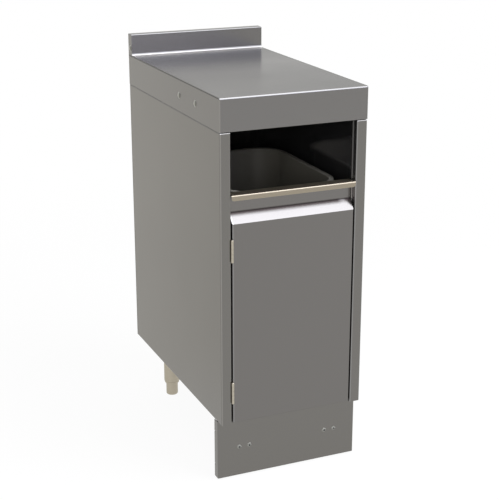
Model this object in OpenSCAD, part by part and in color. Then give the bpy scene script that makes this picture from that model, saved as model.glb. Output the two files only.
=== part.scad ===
// Underbar waste cabinet in bent stainless sheet: a worktop with a splash over an open
// chute, a hinged door with a finger recess and a pull bar, a waste bin inside, a kick
// plate and four adjustable legs. Millimetres. Every piece is drawn with x from the left
// side, y back from the front plane and z up from the floor, and is then moved so that
// the origin is on the floor under the middle of the cabinet.

/* [Overall] */
// Width over the two sides
cabinet_w = 355.6; // [300:0.1:600]
// Depth from the front plane to the back of the splash
cabinet_d = 609.6; // [540:0.1:800]
// Height of the worktop above the floor
worktop_z = 914.4; // [860:0.1:1000]
// Clear height under the body
toe_h = 152.4; // [120:0.1:200]
// Gap that is left where one sheet fits inside another
sheet_gap = 0.2; // [0.1:0.05:0.4]

/* [Worktop] */
// Thickness of the worktop sheet
top_t = 1.5; // [1:0.1:3]
// Height of the apron and the side skirts
apron_h = 75.1; // [60:0.1:110]
// Outside radius of the bend between deck and apron
deck_bend_r = 4; // [2:0.1:6]
// Height of the splash above the deck
splash_h = 53; // [36:0.1:150]
// Depth of the splash
splash_d = 25.4; // [22:0.1:60]
// Radius of the cove at the foot of the splash
cove_r = 7.5; // [3:0.1:15]
// Outside radius of the small bends of the worktop
top_edge_r = 1.9; // [1:0.1:4]
// Width of the hem that turns in under the skirts
hem_w = 19; // [17:0.5:30]
// Height of the hat channels under the deck
channel_h = 22; // [12:0.5:28]
// Width of the crown of a hat channel
channel_w = 38; // [25:0.5:60]
// Width of each flange of a hat channel
channel_flange = 14; // [8:0.5:20]
// Distance of the outer hat channels from the front and from the back
channel_inset = 150; // [100:1:200]

/* [Joining holes] */
// Diameter of the holes that join two cabinets side by side
join_hole_d = 11.2; // [8:0.1:12]
// Distance of the first joining hole from the front
join_first_y = 142.9; // [60:0.1:200]
// Distance between the two joining holes of a skirt
join_pitch = 101.6; // [50:0.1:150]
// Distance of the splash hole from the back
join_splash_back = 15.5; // [13:0.1:18]
// Height of the splash hole above the deck
join_splash_up = 18; // [10:0.1:24]
// Diameter of a plug's head
plug_head_d = 15.9; // [13:0.1:18]
// Height of a plug's dome
plug_dome_h = 2.6; // [1.5:0.1:4]
// Length of a plug's stem behind the sheet
plug_stem = 4; // [2:0.1:6]

/* [Body] */
// Thickness of the body sheet
body_t = 1.2; // [0.8:0.1:2]
// Outside radius of the body's bends
body_r = 2.4; // [2.1:0.1:4]
// Gap of the seam between body and worktop
seam_gap = 0.8; // [0.2:0.1:0.9]
// Width of a front stile
stile_w = 25.4; // [22:0.1:50]
// Depth of the return behind a stile's inner edge
stile_return = 19; // [18.9:0.1:26]
// Width and depth of the bead along the return's rear edge
bead_w = 1.7; // [1:0.1:1.8]
// Width of the top and bottom flanges of a side panel
side_flange = 19; // [17:0.5:21]
// Width of the rear flange of a side panel
rear_flange = 12.7; // [10:0.1:20]
// How far the rear panel stays in front of the splash's back
rear_inset = 1.6; // [1.5:0.1:6]
// Height of the floor pan above the bottom of the body
pan_rise = 25.4; // [12:0.1:60]

/* [Door] */
// Gap between the door and the body
door_gap = 3.2; // [3:0.1:6]
// Thickness of the door
door_thick = 25.4; // [25:0.1:40]
// Thickness of the door sheet
door_t = 1.2; // [0.8:0.1:2]
// Outside radius of the door's edge bends
door_r = 2.2; // [2:0.1:4]
// Height of the flat front face
door_face_h = 477.7; // [380:0.1:560]
// Depth of the finger recess
recess_d = 17.5; // [12:0.1:19]
// Height of the slope that leads into the recess
slope_h = 21.2; // [15:0.1:40]
// Height of the upright strip above the slope
strip_h = 43.4; // [35:0.1:60]
// Radius of the bend between slope and strip
recess_r = 9; // [3:0.1:12]
// Depth of the flanges that stiffen the door's back
liner_flange = 11; // [6:0.1:12]

/* [Pull bar] */
// Thickness of the pull bar
pull_t = 1.6; // [1.2:0.1:3]
// Height of the lip that the fingers hook behind
pull_lip_h = 12.5; // [10:0.1:25]
// How far the lip stands in front of the front plane
pull_proud = 3.3; // [3:0.1:8]
// How far the lip runs past each edge of the door
pull_overhang = 2.3; // [0:0.1:2.6]
// Radius of the lip's lower corners
pull_corner_r = 6; // [2:0.1:9]
// Outside radius of the bend along the pull bar
pull_bend_r = 3; // [2:0.1:4]

/* [Hinges] */
// Height of a hinge
hinge_h = 51; // [40:0.1:80]
// Thickness of a hinge leaf
leaf_t = 1.45; // [1.2:0.05:1.45]
// Depth of a hinge leaf behind the front plane
leaf_d = 17; // [14:0.1:18]
// Outside diameter of the knuckles
knuckle_d = 6.4; // [5.6:0.1:8]
// Diameter of a hinge pin
pin_d = 3.2; // [2.5:0.1:3.6]
// Radial clearance of the pin
pin_gap = 0.05; // [0.02:0.01:0.1]
// Clearance between a knuckle and what is beside it
knuckle_gap = 0.3; // [0.2:0.05:0.5]
// Distance of the hinge axis from the door's left edge, to the left
axis_offset = 1.6; // [0.1:0.1:2.4]
// Height of the lower hinge's middle above the door's bottom
lower_hinge_up = 76.2; // [60:0.1:120]
// Distance of the upper hinge's middle below the top of the door
upper_hinge_down = 125.5; // [110:0.1:160]
// Diameter of a hinge screw
hinge_screw_d = 4; // [3:0.1:4.5]
// Distance between the two screws of a leaf
hinge_screw_pitch = 30; // [20:0.5:32]

/* [Legs] */
// Outside diameter of a leg tube
leg_d = 41.3; // [36:0.1:50]
// Wall of a leg tube
leg_t = 1.5; // [1:0.1:2.5]
// Distance of the leg centres from the sides
leg_side = 67; // [60:0.1:90]
// Distance of the leg centres from the front and from the back
leg_front = 84.6; // [75:0.1:120]
// Edge of a square leg plate
leg_plate_w = 88.9; // [80:0.1:90]
// Thickness of a leg plate
leg_plate_t = 3; // [2:0.1:5]
// Height of the collar that holds a tube under its plate
collar_h = 14; // [8:0.1:18]
// Height of a levelling foot
foot_h = 35; // [28:0.1:45]
// Diameter of a levelling foot
foot_d = 31.2; // [26:0.1:34]
// Radius of a foot's bottom edge
foot_r = 4; // [1:0.1:6]
// Diameter of a foot's screw
foot_screw_d = 12.7; // [10:0.1:16]
// Length of a foot's screw above its head
foot_screw_l = 38; // [36:0.1:50]
// Length of the plug in the tube that the screw turns in
insert_l = 42; // [38:0.1:60]
// Height of the plug's bevelled rim, which closes the tube's end
insert_rim_h = 5; // [2:0.1:8]
// Gap between a foot screwed fully in and its plug
foot_gap = 0.3; // [0.2:0.05:0.5]

/* [Kick plate] */
// How far the kick plate stands behind the front plane
kick_back = 25.4; // [22:0.1:40]
// Depth of the kick plate's end flanges
kick_flange = 20; // [12:0.1:30]
// Gap over the kick plate
kick_gap = 1; // [0.5:0.1:3]
// Gap between the kick plate and the floor
kick_floor_gap = 4.6; // [0.5:0.1:12]
// Height of the kick plate's screws
kick_screw_z = 77.7; // [50:0.1:90]
// Distance between the two screws of a clip
kick_screw_pitch = 25.4; // [18:0.1:28]
// Diameter of a kick plate screw's head
kick_head_d = 10.5; // [8:0.1:12]
// Height of the lower notch in the back edge of each end flange
kick_notch_z = 36; // [20:0.1:45]
// Distance between the two notches of a flange
kick_notch_pitch = 84; // [50:0.1:90]
// Depth of a notch
kick_notch_d = 6; // [2:0.1:10]
// Height of a notch
kick_notch_h = 2; // [1:0.1:6]
// Height of a spring clip
clip_h = 30; // [20:0.5:40]
// Thickness of a spring clip
clip_t = 1.6; // [1.2:0.1:2.5]

/* [Waste bin] */
// Gap between the bin's rim and each stile's inner edge, seen from the front
bin_side_gap = 12.7; // [8:0.1:30]
// Depth of the bin over its rim
bin_d = 387; // [300:1:420]
// Gap between the door and the bin's rim
bin_front_gap = 2.6; // [2:0.1:10]
// How far the rim is below the top of the pull bar
bin_rim_drop = 7.8; // [5:0.1:40]
// Corner radius of the rim
bin_corner_r = 63; // [45:1:80]
// Width of the rim
bin_rim_w = 12; // [10:0.5:20]
// Depth of the rim's turned down edge
bin_rim_h = 9; // [6:0.5:20]
// Wall of the bin
bin_wall = 2.4; // [1.8:0.1:4]
// How much narrower the bin is at its foot, on each side
bin_taper = 18; // [4:0.5:30]
// Gap under the bin
bin_foot_gap = 0.2; // [0.1:0.1:0.5]

/* [Catch] */
// Length of the magnetic catch
catch_l = 46; // [40:0.5:60]
// Height of the magnetic catch
catch_h = 14; // [12:0.5:20]
// Depth of the magnetic catch
catch_w = 13; // [11:0.5:20]
// Distance of the catch's middle from the right stile's inner edge
catch_in = 32; // [28:0.5:60]
// Thickness of the strike plate
strike_t = 1.2; // [0.8:0.1:1.4]
// Thickness of a door bumper
bumper_t = 1.5; // [1:0.1:1.6]
// Diameter of a door bumper
bumper_d = 9; // [6:0.1:12]
// Gap that is left in front of catch and bumpers when the door is shut
shut_gap = 0.3; // [0.2:0.05:0.5]

/* [Hidden] */

$fn = 64;
cut = 1;              // how far a cutting shape runs past what it cuts
fuse = 0.1;           // how far two shapes of one piece run into each other
sharp_r = 0.1;        // least inside radius of a bend
hole_gap = 0.05;      // radial clearance of a fastener in its hole

// Heights
splash_z = worktop_z + splash_h;
hem_z = worktop_z - apron_h;
body_top_z = hem_z - seam_gap;
pan_z = toe_h + pan_rise;
door_z0 = toe_h + door_gap;
slope_z0 = door_z0 + door_face_h;
slope_z1 = slope_z0 + slope_h;
door_z1 = slope_z1 + strip_h;
pull_z1 = door_z1 + pull_t;
leg_plate_z = pan_z - body_t - leg_plate_t;
leg_tube_z = foot_h + foot_gap + insert_rim_h;
join_z = hem_z + apron_h / 2;

// Places across the width and the depth
door_x0 = stile_w + door_gap;
door_x1 = cabinet_w - stile_w - door_gap;
rear_y = cabinet_d - rear_inset;
side_back_y = rear_y - body_t - sheet_gap / 2;
liner_y = door_thick - door_t;
stop_y = door_thick + bumper_t + shut_gap;
leg_xs = [leg_side, cabinet_w - leg_side];
leg_ys = [leg_front, cabinet_d - leg_front];
channel_ys = [channel_inset, cabinet_d - splash_d - channel_inset];

// Hinge axis, and the middles of the two hinges
axis_x = door_x0 - axis_offset;
axis_y = -knuckle_d / 2 - knuckle_gap;
lower_hinge_z = door_z0 + lower_hinge_up;
upper_hinge_z = door_z1 - upper_hinge_down;
knuckles = 5;         // knuckles on a hinge, shared out in turn to the two leaves
knuckle_slot = 0.3;   // gap between two knuckles
leaf_front = 0.1;     // where a leaf's plate starts behind the front plane
pin_head_h = 1.4;     // height of a pin's domed head
sink_share = 0.95;    // radius of a hinge screw's head as a share of the screw's diameter
hinge_screw_tip = 3;  // length of a hinge screw behind the sheet
hinge_screw_back = 1; // how far its screws lie behind the middle of a leaf

// Fasteners
top_bolt_d = 6;       // bolts between worktop and side panels
top_bolt_in = 10;     // distance of those bolts from the cabinet's side
top_bolt_end = 60;    // distance of those bolts from front and back
top_bolt_up = 10;     // length of those bolts above the hem
top_hex_d = 11.4;     // size of their heads and nuts over the corners
top_head_h = 4;
top_nut_h = 5;
rivet_d = 4;          // shank of the rear rivets
rivet_head_d = 8;
rivet_head_h = 1.3;
rivet_tail_d = 6;
rivet_tail_h = 3;
rivet_rows = 5;       // rivets down each rear edge
rivet_end = 36;       // distance of the end rivets from the body's top and bottom
leg_screw_d = 5;      // screws that hold a leg plate
leg_screw_in = 9;     // distance of those screws from the plate's edges
leg_head_d = 9;
leg_head_h = 3;
leg_socket_d = 4;
leg_socket_h = 1.5;
kick_screw_d = 5;
kick_head_h = 2.8;
kick_socket_d = 4.2;
kick_socket_h = 1.5;
kick_nut_d = 9;
kick_nut_h = 4;
kick_screw_tip = 2;   // length of a kick plate screw behind its nut
catch_screw_d = 3;
catch_head_h = 1.8;
catch_screw_tip = 5;  // length of a catch screw below the floor pan
strike_rivet_d = 3;
strike_rivet_in = 4;  // distance of the strike plate's rivets from its ends
strike_tail_d = 5.4;
strike_tail_h = 1;

// Small sizes of the sheets and legs
flange_gap = 2;       // gap between the rear panel's top flange and those of the sides
leg_plate_r = 6;      // corner radius of a leg plate
collar_wall = 3.5;
foot_top_r = 1;       // radius of a foot's top edge
clip_mouth = 0.62;    // mouth of a spring clip as a share of the leg's diameter
bumper_in = 25;       // distance of the left bumper from the door's edge
peg_h = 0.01;         // height of the pegs that the bin's hull is drawn around

// Small sizes of the catch
catch_ear = 9;        // length of each screw ear
catch_ear_h = 4;      // height of each screw ear
catch_ear_back = 2;   // how far an ear stands behind the housing's front
catch_corner_r = 3;   // radius at the corners of ears and strike plate
magnet_l = 20;
magnet_h = 7;
magnet_d = 8;
magnet_proud = 0.8;   // how far the magnet stands out of its housing
strike_l = 34;
strike_h = 12;

// Moves a piece from the drawing frame to the part's own frame
module placed() translate([-cabinet_w / 2, -cabinet_d / 2, 0]) children();

// A flat shape drawn in y and z, drawn out along x
module along_x(x0, x1) translate([x0, 0, 0]) rotate([90, 0, 90]) linear_extrude(x1 - x0) children();

// A flat shape drawn in x and z, drawn out along y
module along_y(y0, y1) translate([0, y1, 0]) rotate([90, 0, 0]) linear_extrude(y1 - y0) children();

// A flat shape drawn in x and y, drawn out along z
module along_z(z0, z1) translate([0, 0, z0]) linear_extrude(z1 - z0) children();

// A block between two corners
module block(p, q) translate(p) cube(q - p);

// A round bar along x, y or z that starts at p
module bar_x(p, d, l) translate(p) rotate([0, 90, 0]) cylinder(d = d, h = l);
module bar_y(p, d, l) translate(p) rotate([-90, 0, 0]) cylinder(d = d, h = l);
module bar_z(p, d, l) translate(p) cylinder(d = d, h = l);

// What comes off a square corner to round it
module corner_waste(r) {
    difference() {
        translate([-cut, -cut]) square(r + cut);
        translate([r, r]) circle(r = r);
    }
}

// Rectangle from p to q, its corners rounded: low left, low right, top right, top left
module round_rect(p, q, r) {
    difference() {
        translate(p) square(q - p);
        if (r[0] > 0) translate(p) corner_waste(r[0]);
        if (r[1] > 0) translate([q[0], p[1]]) rotate(90) corner_waste(r[1]);
        if (r[2] > 0) translate(q) rotate(180) corner_waste(r[2]);
        if (r[3] > 0) translate([p[0], q[1]]) rotate(-90) corner_waste(r[3]);
    }
}

// Low dome on a round base, grown along z from the base plane
module dome(d, h) {
    ball_r = (d * d / 4 + h * h) / (2 * h);
    intersection() {
        translate([0, 0, h - ball_r]) sphere(r = ball_r);
        cylinder(d = d, h = h);
    }
}

// Turns a piece that stands along z so that it points to the left, or to the back
module facing_left() rotate([0, -90, 0]) children();
module facing_back() rotate([-90, 0, 0]) children();
module facing_front() rotate([90, 0, 0]) children();

// Outline of the worktop in y and z, taken in by the thickness of the sheet where t > 0
module worktop_outline(t) {
    inner_r = function(r) max(r - t, sharp_r);
    round_rect([t, hem_z + t], [cabinet_d - t, worktop_z - t],
        [inner_r(top_edge_r), inner_r(top_edge_r), 0, inner_r(deck_bend_r)]);
    round_rect([cabinet_d - splash_d + t, hem_z + t + top_edge_r], [cabinet_d - t, splash_z - t],
        [0, 0, inner_r(top_edge_r), inner_r(top_edge_r)]);
    // The cove swells the outline on the outside and on the inside of the sheet alike
    translate([cabinet_d - splash_d - cove_r, worktop_z + cove_r]) difference() {
        translate([0, -cove_r - t]) square(cove_r + t);
        circle(r = cove_r + t);
    }
}

// Centres of the joining holes in y and z: two in the skirt and one in the splash's end
join_points = [
    [join_first_y, join_z],
    [join_first_y + join_pitch, join_z],
    [cabinet_d - join_splash_back, worktop_z + join_splash_up]
];

// Centres of the worktop's bolts in x and y
top_bolt_points = [
    for (x = [top_bolt_in, cabinet_w - top_bolt_in], y = [top_bolt_end, cabinet_d - top_bolt_end])
        [x, y]
];

// Deck, apron, skirts and splash, bent and welded from one sheet, with a hem all round
module worktop() color("silver") placed() difference() {
    along_x(0, cabinet_w) worktop_outline(0);
    along_x(top_t, cabinet_w - top_t) worktop_outline(top_t);
    block([hem_w, hem_w, hem_z - cut], [cabinet_w - hem_w, cabinet_d - hem_w, hem_z + top_t + cut]);
    for (p = join_points, x = [0, cabinet_w - top_t])
        bar_x([x - cut, p[0], p[1]], join_hole_d, top_t + 2 * cut);
    for (p = top_bolt_points)
        bar_z([p[0], p[1], hem_z - cut], top_bolt_d + 2 * hole_gap, top_t + 2 * cut);
}

// Section of one hat channel in y and z, crown down, with its flanges against the deck
module channel_section(y) {
    half = channel_w / 2;
    top = worktop_z - top_t;
    for (s = [-1, 1]) {
        translate([y + s * (half + channel_flange / 2), top - body_t / 2])
            square([channel_flange, body_t], center = true);
        translate([y + s * (half - body_t / 2), top - channel_h / 2])
            square([body_t, channel_h], center = true);
    }
    translate([y, top - channel_h + body_t / 2]) square([channel_w, body_t], center = true);
}

// Two hat channels that stiffen the deck from below
module top_channels() color("gray") placed()
    for (y = channel_ys)
        along_x(top_t + sheet_gap, cabinet_w - top_t - sheet_gap) channel_section(y);

// Bolts with nuts that pull the worktop down on the side panels
module top_bolts() color("darkgray") placed()
    for (p = top_bolt_points)
        translate([p[0], p[1], 0]) {
            head_z = body_top_z - body_t - top_head_h;
            nut_z = hem_z + top_t;
            bar_z([0, 0, head_z], top_bolt_d, nut_z + top_bolt_up - head_z);
            translate([0, 0, head_z]) cylinder(d = top_hex_d, h = top_head_h, $fn = 6);
            translate([0, 0, nut_z]) difference() {
                cylinder(d = top_hex_d, h = top_nut_h, $fn = 6);
                translate([0, 0, -cut]) cylinder(d = top_bolt_d + 2 * hole_gap, h = top_nut_h + 2 * cut);
            }
        }

// Domed plugs that close the joining holes of the left side, which stands free
module hole_plugs() color("lightgray") placed()
    for (p = join_points)
        translate([0, p[0], p[1]]) {
            facing_left() dome(plug_head_d, plug_dome_h);
            bar_x([-fuse, 0, 0], join_hole_d - 2 * hole_gap, top_t + plug_stem + fuse);
        }

// Block that a side panel is bent around, taken in by t
module side_form(t, r) {
    inner_r = max(r - t, sharp_r);
    intersection() {
        along_z(toe_h + t, body_top_z - t)
            round_rect([t, t], [stile_w - t, side_back_y - t], [inner_r, inner_r, 0, inner_r]);
        along_y(t, side_back_y - t)
            round_rect([t, toe_h + t], [stile_w - t, body_top_z - t], [inner_r, 0, 0, inner_r]);
        along_x(t, stile_w - t)
            round_rect([t, toe_h + t], [side_back_y - t, body_top_z - t], [0, 0, 0, inner_r]);
    }
}

// Places of the rear rivets across and up the back
rivet_xs = [rear_flange / 2, cabinet_w - rear_flange / 2];
rivet_zs = [
    for (i = [0 : rivet_rows - 1])
        toe_h + rivet_end + i * (body_top_z - toe_h - 2 * rivet_end) / (rivet_rows - 1)
];

// Side wall with its stile, the stile's beaded return and narrow flanges at top, bottom and back
module side_panel() difference() {
    union() {
        side_form(0, body_r);
        block([stile_w - body_t, stile_return - bead_w, toe_h + body_r],
            [stile_w + bead_w, stile_return, body_top_z - body_t]);
    }
    side_form(body_t, body_r);
    // The inner side is open behind the stile's return
    block([stile_w - body_t - sheet_gap, stile_return, toe_h - cut],
        [stile_w + cut, side_back_y + cut, body_top_z + cut]);
    // Top and bottom flanges end short of the stile's inner edge
    for (z = [toe_h, body_top_z - body_t])
        block([side_flange, stile_return, z - cut],
            [stile_w + cut, side_back_y + cut, z + body_t + cut]);
    block([rear_flange, side_back_y - body_t - cut, toe_h - cut],
        [stile_w + cut, side_back_y + cut, body_top_z + cut]);
    // The body's underside stays open behind the stile
    block([body_t, body_t, toe_h - cut], [stile_w - body_t, stile_return, toe_h + body_t + cut]);
    for (p = top_bolt_points)
        if (p[0] < cabinet_w / 2)
            bar_z([p[0], p[1], body_top_z - body_t - cut], top_bolt_d + 2 * hole_gap, body_t + 2 * cut);
    for (z = rivet_zs)
        bar_y([rear_flange / 2, side_back_y - body_t - cut, z], rivet_d + 2 * hole_gap, body_t + 2 * cut);
}

// Heights and depth of the screws in the hinge leaves
hinge_screw_zs = [
    for (z = [lower_hinge_z, upper_hinge_z], s = [-1, 1]) z + s * hinge_screw_pitch / 2
];
hinge_screw_y = leaf_d / 2 + hinge_screw_back;

// Left side panel, which the hinges are screwed to
module left_side_panel() color("gainsboro") placed() difference() {
    side_panel();
    for (z = hinge_screw_zs)
        bar_x([stile_w - body_t - cut, hinge_screw_y, z], hinge_screw_d + 2 * hole_gap,
            body_t + 2 * cut);
}

module right_side_panel() color("gainsboro") placed()
    translate([cabinet_w, 0, 0]) mirror([1, 0, 0]) side_panel();

// Back sheet behind the side panels' rear flanges, with a flange under the worktop
module rear_panel() color("gainsboro") placed() difference() {
    union() {
        block([sheet_gap, rear_y - body_t, toe_h], [cabinet_w - sheet_gap, rear_y, body_top_z]);
        block([side_flange + flange_gap, rear_y - side_flange, body_top_z - body_t],
            [cabinet_w - side_flange - flange_gap, rear_y - body_t / 2, body_top_z]);
    }
    for (x = rivet_xs, z = rivet_zs)
        bar_y([x, rear_y - body_t - cut, z], rivet_d + 2 * hole_gap, body_t + 2 * cut);
}

// Blind rivets down the two rear edges
module rear_rivets() color("silver") placed()
    for (x = rivet_xs, z = rivet_zs)
        translate([x, 0, z]) {
            tail_y = side_back_y - body_t - rivet_tail_h;
            translate([0, rear_y, 0]) facing_back() dome(rivet_head_d, rivet_head_h);
            bar_y([0, tail_y, 0], rivet_d, rear_y - tail_y + fuse);
            bar_y([0, tail_y, 0], rivet_tail_d, rivet_tail_h);
        }

// Screws of a leg plate, from the plate's centre
leg_screw_at = leg_plate_w / 2 - leg_screw_in;
leg_screw_points = [
    for (x = leg_xs, y = leg_ys, sx = [-1, 1], sy = [-1, 1])
        [x + sx * leg_screw_at, y + sy * leg_screw_at]
];

// Catch: its middle along x, and its front behind the front plane
catch_x = cabinet_w - stile_w - catch_in;
catch_y = door_thick + strike_t + shut_gap + magnet_proud;
catch_screw_xs = [for (s = [-1, 1]) catch_x + s * (catch_l - catch_ear) / 2];
catch_screw_y = catch_y + catch_w / 2;

// Floor of the cabinet: a tray turned down at the front and the sides
module bottom_pan() color("gainsboro") placed() {
    x0 = body_t + sheet_gap;
    x1 = cabinet_w - x0;
    y1 = side_back_y - body_r - sheet_gap;
    z0 = toe_h + body_r + sheet_gap;
    difference() {
        intersection() {
            along_x(x0, x1) round_rect([stop_y, z0], [y1, pan_z], [0, 0, 0, body_r]);
            along_y(stop_y, y1) round_rect([x0, z0], [x1, pan_z], [0, 0, body_r, body_r]);
        }
        block([x0 + body_t, stop_y + body_t, z0 - cut], [x1 - body_t, y1 + cut, pan_z - body_t]);
        for (p = leg_screw_points)
            bar_z([p[0], p[1], pan_z - body_t - cut], leg_screw_d + 2 * hole_gap, body_t + 2 * cut);
        for (x = catch_screw_xs)
            bar_z([x, catch_screw_y, pan_z - body_t - cut], catch_screw_d + 2 * hole_gap, body_t + 2 * cut);
    }
}

// Plates with collars that carry the legs under the floor pan
module leg_plates() color("darkgray") placed() difference() {
    for (x = leg_xs, y = leg_ys)
        translate([x, y, leg_plate_z]) {
            along_z(0, leg_plate_t)
                round_rect([-1, -1] * leg_plate_w / 2, [1, 1] * leg_plate_w / 2, leg_plate_r * [1, 1, 1, 1]);
            translate([0, 0, -collar_h]) difference() {
                cylinder(d = leg_d + 2 * collar_wall, h = collar_h + fuse);
                translate([0, 0, -cut]) cylinder(d = leg_d + 2 * hole_gap, h = collar_h + cut);
            }
        }
    for (p = leg_screw_points)
        bar_z([p[0], p[1], leg_plate_z - cut], leg_screw_d + 2 * hole_gap, leg_plate_t + 2 * cut);
}

// Screws from below, through the plates and into the pan, flush with its top
module leg_screws() color("silver") placed()
    for (p = leg_screw_points)
        translate([p[0], p[1], leg_plate_z]) {
            bar_z([0, 0, -fuse], leg_screw_d, pan_z - sheet_gap - leg_plate_z + fuse);
            translate([0, 0, -leg_head_h]) difference() {
                cylinder(d = leg_head_d, h = leg_head_h);
                translate([0, 0, -cut]) cylinder(d = leg_socket_d, h = leg_socket_h + cut, $fn = 6);
            }
        }

// Round tubes that stand in the collars
module leg_tubes() color("tan") placed()
    for (x = leg_xs, y = leg_ys)
        translate([x, y, leg_tube_z]) difference() {
            cylinder(d = leg_d, h = leg_plate_z - leg_tube_z);
            translate([0, 0, -cut])
                cylinder(d = leg_d - 2 * leg_t, h = leg_plate_z - leg_tube_z + 2 * cut);
        }

// Plugs in the tubes' ends, each with a bevelled rim and the thread of a levelling foot
module leg_inserts() color("tan") placed()
    for (x = leg_xs, y = leg_ys)
        translate([x, y, foot_h + foot_gap]) difference() {
            union() {
                cylinder(d = leg_d - 2 * leg_t - 2 * hole_gap, h = insert_l);
                cylinder(d1 = foot_d, d2 = leg_d, h = insert_rim_h);
            }
            translate([0, 0, -cut]) cylinder(d = foot_screw_d + 2 * hole_gap, h = insert_l + 2 * cut);
        }

// Levelling foot with its screw, screwed fully in
module foot(x, y) color("tan") placed() translate([x, y, 0]) rotate_extrude() {
    difference() {
        union() {
            round_rect([-foot_d / 2, 0], [foot_d / 2, foot_h],
                [foot_r, foot_r, foot_top_r, foot_top_r]);
            translate([-foot_screw_d / 2, foot_h - cut]) square([foot_screw_d, foot_screw_l + cut]);
        }
        translate([-foot_d, -cut]) square([foot_d, foot_h + foot_screw_l + 2 * cut]);
    }
}

module front_left_foot() foot(leg_xs[0], leg_ys[0]);
module front_right_foot() foot(leg_xs[1], leg_ys[0]);
module rear_left_foot() foot(leg_xs[0], leg_ys[1]);
module rear_right_foot() foot(leg_xs[1], leg_ys[1]);

// Places of the kick plate's screws across the front
kick_screw_xs = [for (x = leg_xs, s = [-1, 1]) x + s * kick_screw_pitch / 2];

// Toe board in front of the legs, with a notched end flange at each side and a hem at the top
module kick_plate() color("gainsboro") placed() {
    z0 = kick_floor_gap;
    z1 = toe_h - kick_gap;
    back = kick_back + kick_flange;
    difference() {
        along_z(z0, z1) round_rect([0, kick_back], [cabinet_w, back], [body_r, body_r, 0, 0]);
        along_z(z0 - cut, z1 - body_t) round_rect([body_t, kick_back + body_t],
            [cabinet_w - body_t, back + cut], [body_r - body_t, body_r - body_t, 0, 0]);
        block([body_t, kick_back + body_t + side_flange / 2, z0],
            [cabinet_w - body_t, back + cut, z1 + cut]);
        for (z = [kick_notch_z, kick_notch_z + kick_notch_pitch])
            block([-cut, back - kick_notch_d, z], [cabinet_w + cut, back + cut, z + kick_notch_h]);
        for (x = kick_screw_xs)
            bar_y([x, kick_back - cut, kick_screw_z], kick_screw_d + 2 * hole_gap, body_t + 2 * cut);
    }
}

// Spring clips behind the kick plate that snap around the front legs
module kick_clips() color("silver") placed() {
    base_y = kick_back + body_t;
    inner = leg_d + 2 * sheet_gap;
    outer = inner + 2 * clip_t;
    mouth = clip_mouth * leg_d;
    for (x = leg_xs)
        translate([x, 0, kick_screw_z]) difference() {
            along_z(-clip_h / 2, clip_h / 2) difference() {
                union() {
                    translate([-outer / 2, base_y]) square([outer, leg_front - base_y]);
                    translate([0, leg_front]) circle(d = outer);
                }
                translate([0, leg_front]) circle(d = inner);
                translate([-inner / 2, base_y + clip_t]) square([inner, leg_front - base_y - clip_t]);
                translate([-mouth / 2, leg_front]) square([mouth, outer]);
            }
            for (s = [-1, 1])
                bar_y([s * kick_screw_pitch / 2, base_y - cut, 0], kick_screw_d + 2 * hole_gap,
                    clip_t + 2 * cut);
        }
}

// Round headed screws with a six sided socket, through kick plate and clips
module kick_screws() color("lightgray") placed()
    for (x = kick_screw_xs)
        translate([x, kick_back, kick_screw_z]) {
            difference() {
                facing_front() dome(kick_head_d, kick_head_h);
                translate([0, kick_socket_h - kick_head_h, 0])
                    facing_front() cylinder(d = kick_socket_d, h = kick_head_h, $fn = 6);
            }
            bar_y([0, -fuse, 0], kick_screw_d, fuse + body_t + clip_t + kick_nut_h + kick_screw_tip);
        }

// Nuts behind the clips
module kick_nuts() color("silver") placed()
    for (x = kick_screw_xs)
        translate([x, kick_back + body_t + clip_t, kick_screw_z]) facing_back() difference() {
            cylinder(d = kick_nut_d, h = kick_nut_h, $fn = 6);
            translate([0, 0, -cut]) cylinder(d = kick_screw_d + 2 * hole_gap, h = kick_nut_h + 2 * cut);
        }

// Slope of the finger recess: its lean from upright, and what a bend there takes up
lean = atan(recess_d / slope_h);
bend_k = tan(lean / 2);

// Side view of the door in y and z up to y1, taken in by t
module door_outline(t, y1) {
    // Middle of the hollow bend between slope and strip; the polygon runs through it
    o = [recess_d - recess_r, slope_z1 + recess_r * bend_k];
    bend = recess_r + t;
    difference() {
        polygon([
            [t, door_z0 + t],
            [t, slope_z0 - t * bend_k],
            o + bend * [cos(lean), -sin(lean)],
            o,
            o + [bend, 0],
            [recess_d + t, door_z1 - t],
            [y1, door_z1 - t],
            [y1, door_z0 + t]
        ]);
        translate(o) circle(r = bend);
        if (t == 0) translate([0, door_z0]) corner_waste(door_r);
    }
}

// Front shell of the door: face, slope, strip and all four edges, open at the back
module door_skin() color("gainsboro") placed() difference() {
    intersection() {
        along_x(door_x0, door_x1) door_outline(0, liner_y);
        along_z(door_z0 - cut, door_z1 + cut)
            round_rect([door_x0, 0], [door_x1, liner_y], [door_r, door_r, 0, 0]);
    }
    intersection() {
        along_x(door_x0 + door_t, door_x1 - door_t) door_outline(door_t, liner_y + cut);
        along_z(door_z0 - cut, door_z1 + cut) round_rect([door_x0 + door_t, door_t],
            [door_x1 - door_t, liner_y + cut], [door_r - door_t, door_r - door_t, 0, 0]);
    }
    for (z = hinge_screw_zs)
        bar_x([door_x0 - cut, hinge_screw_y, z], hinge_screw_d + 2 * hole_gap, door_t + 2 * cut);
}

// Strike plate: its middle, in line with the catch's magnet
strike_z = pan_z + catch_h / 2;
strike_rivet_xs = [for (s = [-1, 1]) catch_x + s * (strike_l / 2 - strike_rivet_in)];

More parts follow.
